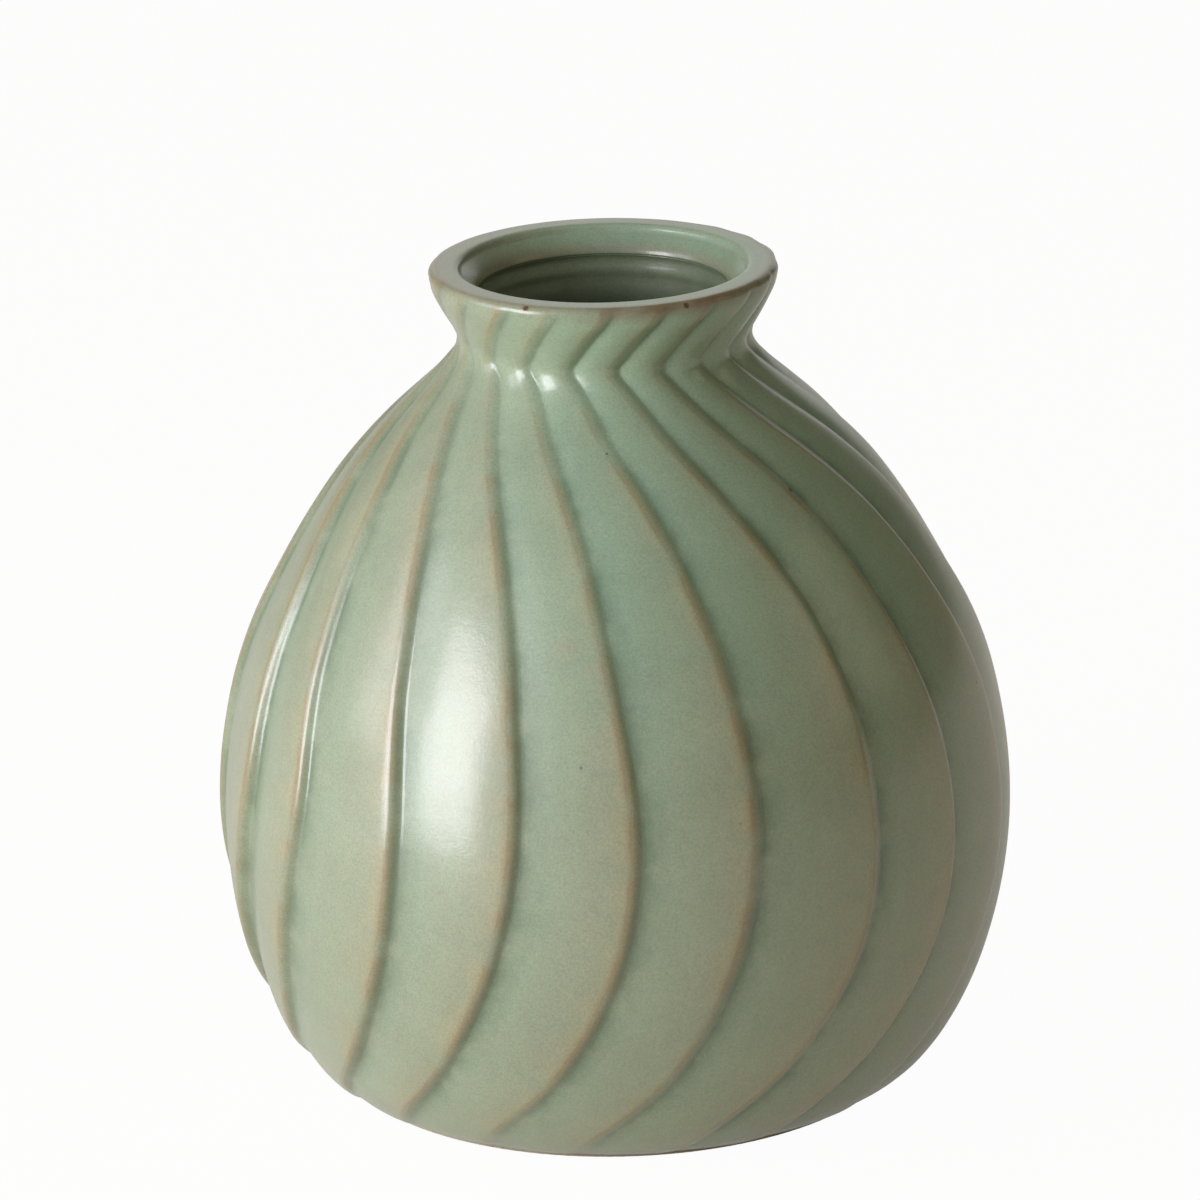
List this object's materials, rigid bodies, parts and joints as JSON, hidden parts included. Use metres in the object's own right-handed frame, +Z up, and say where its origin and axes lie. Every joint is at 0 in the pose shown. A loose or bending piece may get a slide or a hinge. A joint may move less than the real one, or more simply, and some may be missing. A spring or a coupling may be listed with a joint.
{
  "type": "ribbed vase",
  "caption": "Squat glazed stoneware vase with twisted ribs, a narrow neck and a short flared collar.",
  "frame": {"origin": "middle of the foot, on the surface that the vase stands on", "axes": "+Z up along the axis of the body; -Y towards the viewer of the picture; +X to that viewer's right"},
  "size_m": [0.1628, 0.1628, 0.17],
  "materials": {
    "clay": "bare fired stoneware",
    "glaze": "semi-gloss sage green"
  },
  "bodies": {
    "root": {"body_wall": "clay", "collar": "clay", "floor": "clay", "foot_ring": "clay", "outer_glaze": "glaze", "inner_glaze": "glaze"}
  },
  "joints": []
}
